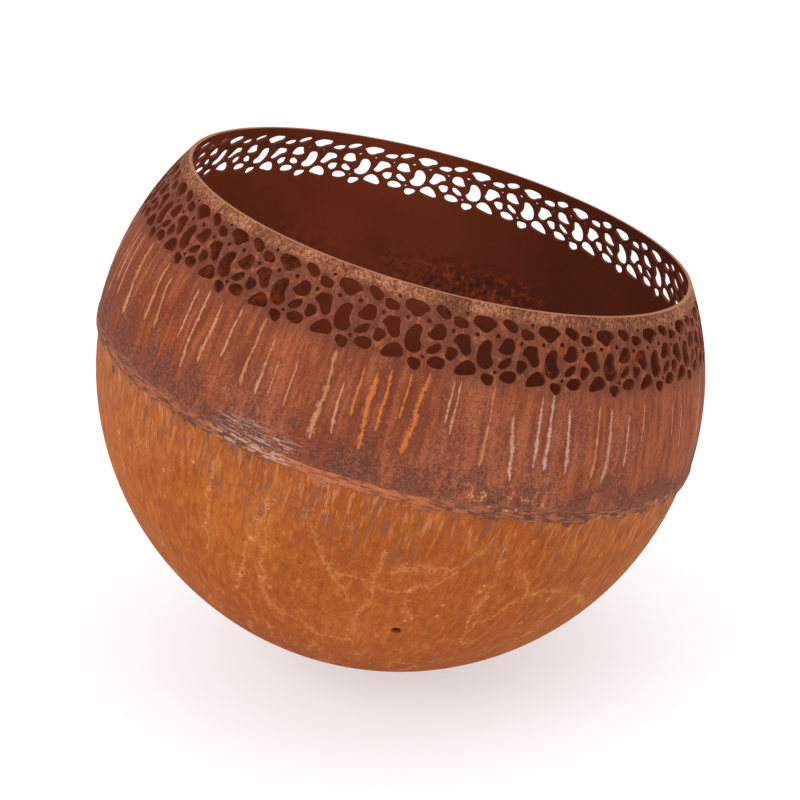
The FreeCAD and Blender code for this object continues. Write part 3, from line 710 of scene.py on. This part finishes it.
def make_band_rust():
    """Brown-red outside, browned inside with painted shade, and cut edges painted dark with shade
    in the holes.
    """
    material, tree, shader = rust_material("brown_red_rust")
    place = use(tree, bowl_place)
    wall, up = place["Wall"], place["Up"]
    grain = use(tree, rust_grain, {"Place": wall})
    broad = cloud(tree, wall, 9, 4, 0.6)
    brushed = streaks(tree, wall, 1, 0.16, 4, 120, 4, 0.65)
    dots = ramp(tree, grain["Speckle"], 0.46, 0.56)
    mix = streaks(tree, wall, 1, 1, 41, 120, 5, 0.75)

    colour = band_ground(tree, place, grain["Speckle"], broad, brushed, dots)
    colour = lay_heat_stain(tree, place, colour, dots)
    colour, runs = lay_runs(tree, place, colour, grain["Speckle"], brushed)
    colour = lay_webs(tree, place, colour, broad, mix)
    colour = lay_rim(tree, place, colour)
    colour, relief = lay_weld_strip(tree, place, colour, mix)
    # the inside's colour: heat-browning with painted shade
    inside = use(tree, soot_and_shade_inside, {"Wall": wall, "Up": up})["Colour"]
    # painted shade: the cut edges in the holes are darker than the one on the rim
    cut = lay(tree, CUT_SHADE_IN_HOLES, CUT_ON_RIM, ramp(tree, up, 0.1785, 0.1795))
    colour = lay(tree, lay(tree, cut, inside, place["Inside"]), colour, place["Outside"])

    roughness = ramp(tree, grain["Speckle"], 0.3, 0.7, 0.75, 0.95)
    height = maths(tree, "MULTIPLY_ADD", runs, 0.3, grain["Height"])
    height = maths(tree, "MULTIPLY_ADD", relief, 0.8, height)
    finish_rust(tree, shader, colour, roughness, height)
    return material


dress("upper_band", make_band_rust())


# ------------------------------------------------------------------ seam weld
# The bead that joins band and dish was laid by hand and partly ground back. It is uneven in
# width and height, and its scale has rusted nearly black.

BEAD_HALF_WIDTH = 0.0044
BEAD_PROUD = 0.0014
BEAD_SUNK = 0.0002  # how far the bead's edges lie under the wall's face
BEAD_ROOT = 0.0012  # how deep its back edge lies
BEAD_STEPS = 8  # across the bead
BEAD_TURNS = 900  # round the joint


def new_mesh(name, shape):
    """A smooth mesh from a finished bmesh."""
    mesh = bpy.data.meshes.new(name)
    shape.to_mesh(mesh)
    shape.free()
    mesh.polygons.foreach_set("use_smooth", [True] * len(mesh.polygons))
    return mesh


def roughen_bead(corner):
    """Moves a point of the bead's face, as a hand-laid bead wanders and is ground back."""
    out = Vector((corner.co.x, corner.co.y, 0))
    proud = out.length - SEAM_RADIUS
    if proud < -0.0005:
        return
    out.normalize()
    ripple = noise.noise(corner.co * 260) * 0.5 + noise.noise(corner.co * 90) * 0.5
    ground = 0.5 + 0.5 * noise.noise(out * 5)
    level = max(0.1, min(1.0, 0.7 - 0.6 * ground + 0.35 * ripple))
    spread = 1 + 0.5 * noise.noise(out * 14 + Vector((3, 1, 7)))
    corner.co.z = corner.co.z * spread + 0.0012 * noise.noise(out * 9 + Vector((9, 4, 2)))
    corner.co += out * (max(proud, 0) * (level - 1))


def make_seam_bead():
    """A flat lens spun round the joint, then roughened."""
    bead = bmesh.new()
    loop = []
    for step in range(BEAD_STEPS + 1):
        turn = math.pi * step / BEAD_STEPS
        out = SEAM_RADIUS - BEAD_SUNK + BEAD_PROUD * math.sin(turn)
        loop.append(bead.verts.new((out, 0, math.cos(turn) * BEAD_HALF_WIDTH)))
    loop.append(bead.verts.new((SEAM_RADIUS - BEAD_ROOT, 0, 0)))
    edges = [bead.edges.new(ends) for ends in zip(loop, loop[1:] + loop[:1])]
    bmesh.ops.spin(
        bead, geom=loop + edges, cent=(0, 0, 0), axis=(0, 0, 1), angle=math.tau,
        steps=BEAD_TURNS, use_merge=True, use_duplicate=False,
    )
    bmesh.ops.remove_doubles(bead, verts=bead.verts, dist=1e-6)
    bmesh.ops.recalc_face_normals(bead, faces=bead.faces)
    for corner in bead.verts:
        roughen_bead(corner)
    bead.transform(lean)
    return new_mesh("seam_bead", bead)


BEAD_DARK = (0.125, 0.044, 0.029)
BEAD_PALE = (0.34, 0.11, 0.052)
BEAD_FLECK = (0.48, 0.18, 0.075)
BEAD_GROUND = (0.5, 0.33, 0.28)


def make_bead_rust():
    """Nearly black scale, worn orange in the middle, with flecks and a ground patch."""
    material, tree, shader = rust_material("weld_scale")
    place = use(tree, bowl_place)
    wall = place["Wall"]
    grain = use(tree, rust_grain, {"Place": wall})
    drawn = streaks(tree, wall, 0.32, 1.6, 3, 230, 4, 0.72)
    colour = lay(tree, BEAD_DARK, BEAD_PALE, ramp(tree, drawn, 0.42, 0.58))
    colour = lay_worn_middle(tree, place, colour, drawn, 0.4, 0.52)
    fleck = ramp(tree, streaks(tree, wall, 1, 1, 8, 130, 4, 0.7), 0.54, 0.62)
    patch = ramp(tree, streaks(tree, wall, 1, 1, 14, 10, 2, 0.5), 0.46, 0.56)
    colour = lay(tree, colour, BEAD_FLECK, fleck, patch, 0.75)
    colour = lay(tree, colour, BEAD_GROUND, window(tree, place["Around"], *GROUND_BACK),
                 ramp(tree, drawn, 0.48, 0.56), 0.7)
    height = maths(tree, "MULTIPLY_ADD", drawn, 0.5, grain["Height"])
    roughness = ramp(tree, grain["Speckle"], 0.3, 0.7, 0.7, 0.95)
    finish_rust(tree, shader, colour, roughness, height, strength=0.45)
    return material


def add_piece(name, mesh, material, body, slot, *stands_for):
    """Links a new piece, gives it its finish, and says which body it moves with."""
    piece = bpy.data.objects.new(name, mesh)
    bpy.context.scene.collection.objects.link(piece)
    mesh.materials.append(material)
    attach(piece, body)
    if stands_for:
        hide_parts(*stands_for)


add_piece("seam_bead", make_seam_bead(), make_bead_rust(), "fire_bowl", "seam_weld_rust",
          "seam_weld")


# ------------------------------------------------------------------ foot
# The foot is a ring of flat bar rolled on edge and cut to the ball's curve, held on by one
# fillet weld. It stands in the wet, so its rust is the darkest and scaliest.

FOOT_DARK = (0.1, 0.034, 0.022)
FOOT_WARM = (0.31, 0.1, 0.04)
FOOT_GRAIN = (0.45, 0.17, 0.07)


def make_foot_rust():
    """Dark scale with warm rust breaking through it."""
    material, tree, shader = rust_material("ground_rust")
    place = put(tree, "ShaderNodeTexCoord").outputs["Object"]
    grain = use(tree, rust_grain, {"Place": place})
    scale = cloud(tree, place, 90, 5, 0.75)
    colour = lay(tree, FOOT_DARK, FOOT_WARM, ramp(tree, scale, 0.4, 0.62))
    colour = lay(tree, colour, FOOT_GRAIN, ramp(tree, grain["Speckle"], 0.55, 0.7, 0, 0.5))
    height = maths(tree, "MULTIPLY_ADD", scale, 0.8, grain["Height"])
    roughness = ramp(tree, grain["Speckle"], 0.3, 0.7, 0.72, 0.95)
    finish_rust(tree, shader, colour, roughness, height, strength=0.7, distance=0.0008)
    return material


foot_rust = make_foot_rust()
dress("foot_ring", foot_rust)
dress("foot_weld", foot_rust)


# ------------------------------------------------------------------ grate lugs
# Three flat lugs are welded inside the dish, level with each other, for the grate to rest on.
# They sit in the fire, so they are sooty brown with a little bare rust on the edges.

LUG_SOOT = (0.05, 0.018, 0.012)
LUG_RUST = (0.16, 0.05, 0.022)
ASH = (0.2, 0.16, 0.145)
FIRED_GRAIN = (0.26, 0.09, 0.04)
TACK_SIZE = 0.0032
TACKS_IN_ROW = 9


def make_fired_steel(name, soot, rust, ash):
    """Bar or plate that has been in the fire: soot over brown rust, with grey ash dust."""
    material, tree, shader = rust_material(name)
    place = put(tree, "ShaderNodeTexCoord").outputs
    grain = use(tree, rust_grain, {"Place": place["Object"]})
    patch = cloud(tree, place["Object"], 38, 4, 0.65)
    colour = lay(tree, soot, rust, ramp(tree, patch, 0.38, 0.64))
    up = put(tree, "ShaderNodeSeparateXYZ", {0: place["Normal"]}).outputs[2]
    dust = ramp(tree, streaks(tree, place["Object"], 1, 1, 5, 70, 4, 0.7), 0.42, 0.7)
    colour = lay(tree, colour, ASH, ramp(tree, up, 0.3, 0.95), dust, ash)
    colour = lay(tree, colour, FIRED_GRAIN, ramp(tree, grain["Speckle"], 0.55, 0.72, 0, 0.5))
    roughness = ramp(tree, grain["Speckle"], 0.3, 0.7, 0.62, 0.9)
    height = maths(tree, "MULTIPLY_ADD", patch, 0.6, grain["Height"])
    finish_rust(tree, shader, colour, roughness, height, strength=0.6)
    return material


lug_steel = make_fired_steel("sooty_lug", LUG_SOOT, LUG_RUST, ash=0.4)
lugs = sorted(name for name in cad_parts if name.startswith("grate_lug"))
for lug in lugs:
    dress(lug, lug_steel)


def make_tacks(name, joints):
    """Small lumpy tacks of weld, given as (place, size)."""
    tacks = bmesh.new()
    for spot, size in joints:
        tack = bmesh.ops.create_icosphere(tacks, subdivisions=3, radius=size)["verts"]
        for corner in tack:
            lump = 1 + 0.3 * noise.noise(corner.co * 260 + spot * 900)
            corner.co = spot + Vector((corner.co.x, corner.co.y, corner.co.z * 0.8)) * lump
    return new_mesh(name, tacks)


def lug_joints():
    """A row of overlapping tacks along each lug's top edge, where it meets the dish."""
    low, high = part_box(lugs[0])
    middle = (low + high) / 2
    first = math.atan2(middle.y, middle.x)
    wall = math.sqrt(DISH_INSIDE ** 2 - (ball_centre.z - high.z) ** 2)
    half_turn = (high.x - low.x) / 2 / wall
    joints = []
    for lug in range(len(lugs)):
        for step in range(TACKS_IN_ROW):
            along = 2 * step / (TACKS_IN_ROW - 1) - 1
            angle = first + math.tau * lug / len(lugs) + half_turn * along
            out = Vector((math.cos(angle), math.sin(angle), 0))
            joints.append((out * (wall - 0.0012) + Vector((0, 0, high.z)), TACK_SIZE))
    return joints


add_piece("lug_welds", make_tacks("lug_welds", lug_joints()), lug_steel, "fire_bowl", "lug_steel")


# ------------------------------------------------------------------ grate
# The grate is round bar welded up: a bent ring, bars across it, two cross bars under them and
# two lift loops. It is loose on its lugs. Fire has left it dark, with ash on top.

BAR_SOOT = (0.035, 0.016, 0.012)
BAR_RUST = (0.13, 0.045, 0.022)
END_TACK = 1.4  # a tack where a bar meets the ring, in the bar's own radii
CROSSING_TACK = 1.35
LOOP_TACK = 1.5

grate_steel = make_fired_steel("fired_bar", BAR_SOOT, BAR_RUST, ash=0.6)
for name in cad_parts:
    if name.startswith(("grate_ring", "grate_bar", "cross_bar", "lift_loop")):
        dress(name, grate_steel)


def chord(radius, offset):
    """Half the length of a straight line across a circle, offset from its centre."""
    return math.sqrt(radius ** 2 - offset ** 2)


def grate_joints():
    """Where the grate's pieces are welded, each with the tack's size."""
    ring_low, ring_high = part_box("grate_ring")
    middle = (ring_low + ring_high) / 2
    ring_bar = (ring_high.z - ring_low.z) / 2
    ring_radius = (ring_high.x - ring_low.x) / 2 - ring_bar
    boxes = {name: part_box(name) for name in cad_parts}
    cross_bars = [box for name, box in boxes.items() if name.startswith("cross_bar")]
    joints = []
    for name, (low, high) in boxes.items():
        bar = (high.y - low.y) / 2
        y = (low.y + high.y) / 2
        if name.startswith("grate_bar"):
            half = chord(ring_radius - ring_bar, y - middle.y)
            for side in (-1, 1):
                joints.append((Vector((middle.x + side * half, y, middle.z)), bar * END_TACK))
            for cross_low, cross_high in cross_bars:
                x = (cross_low.x + cross_high.x) / 2
                joints.append((Vector((x, y, low.z)), bar * CROSSING_TACK))
        if name.startswith("lift_loop"):
            for x in (low.x + bar, high.x - bar):
                joints.append((Vector((x, y, ring_high.z)), bar * LOOP_TACK))
    for low, high in cross_bars:
        bar = (high.x - low.x) / 2
        x = (low.x + high.x) / 2
        half = chord(ring_radius - ring_bar / 2, x - middle.x)
        for side in (-1, 1):
            spot = Vector((x, middle.y + side * half, high.z - bar / 2))
            joints.append((spot, bar * END_TACK))
    return joints


add_piece("grate_welds", make_tacks("grate_welds", grate_joints()), grate_steel, "grate",
          "grate_steel")


# ------------------------------------------------------------------ studio
# A plain pale floor under soft, even light, seen from a little above.

FLOOR_RADIUS = 30
FLOOR_GREY = 0.5
FLOOR_GLOW = 0.55  # lifts the floor to white and keeps the shadow faint
SKY = 0.95
LENS = 95.2
LOOK_DOWN = math.radians(20.74)
DISTANCE = 2.089
AIM_LOW = 0.024  # how far under the seam's centre the camera aims
AIM_RIGHT = 0.002


def add_floor():
    """A wide, pale disc on the ground."""
    shape = bmesh.new()
    bmesh.ops.create_circle(shape, cap_ends=True, segments=96, radius=FLOOR_RADIUS)
    mesh = bpy.data.meshes.new("floor")
    shape.to_mesh(mesh)
    shape.free()
    floor = bpy.data.objects.new("floor", mesh)
    bpy.context.scene.collection.objects.link(floor)
    paint = bpy.data.materials.new("pale_floor")
    paint.use_nodes = True
    shader = paint.node_tree.nodes["Principled BSDF"].inputs
    shader["Base Color"].default_value = (FLOOR_GREY, FLOOR_GREY, FLOOR_GREY, 1)
    shader["Roughness"].default_value = 0.9
    shader["Emission Color"].default_value = (1, 1, 1, 1)
    shader["Emission Strength"].default_value = FLOOR_GLOW
    mesh.materials.append(paint)


def add_sky():
    """Even white light from all round."""
    world = bpy.data.worlds.new("studio")
    world.use_nodes = True
    light = world.node_tree.nodes["Background"].inputs
    light["Color"].default_value = (1, 1, 1, 1)
    light["Strength"].default_value = SKY
    bpy.context.scene.world = world
    bpy.context.scene.view_settings.view_transform = "Standard"


def add_softbox(name, place, aim, size, power):
    """A large square light turned to face the bowl."""
    light = bpy.data.lights.new(name, "AREA")
    light.size = size
    light.energy = power
    lamp = bpy.data.objects.new(name, light)
    lamp.location = place
    lamp.rotation_euler = (aim - Vector(place)).to_track_quat("-Z", "Y").to_euler()
    bpy.context.scene.collection.objects.link(lamp)


def add_camera():
    """A long lens in front of the bowl, looking down at it."""
    lens = bpy.data.cameras.new("camera")
    lens.lens = LENS
    lens.sensor_width = 36
    camera = bpy.data.objects.new("camera", lens)
    back = Vector((0, -math.cos(LOOK_DOWN), math.sin(LOOK_DOWN)))
    above = Vector((0, math.sin(LOOK_DOWN), math.cos(LOOK_DOWN)))
    right = Vector((1, 0, 0))
    camera.location = seam_centre + back * DISTANCE - above * AIM_LOW + right * AIM_RIGHT
    camera.rotation_euler = (math.pi / 2 - LOOK_DOWN, 0, 0)
    bpy.context.scene.collection.objects.link(camera)
    bpy.context.scene.camera = camera


add_floor()
add_sky()
add_softbox("softbox_left", (-1.9, -1.8, 2.0), ball_centre, 1.6, 22)
add_softbox("softbox_top", (0.6, -0.4, 2.6), ball_centre, 2.0, 12)
add_camera()

bpy.context.view_layer.update()
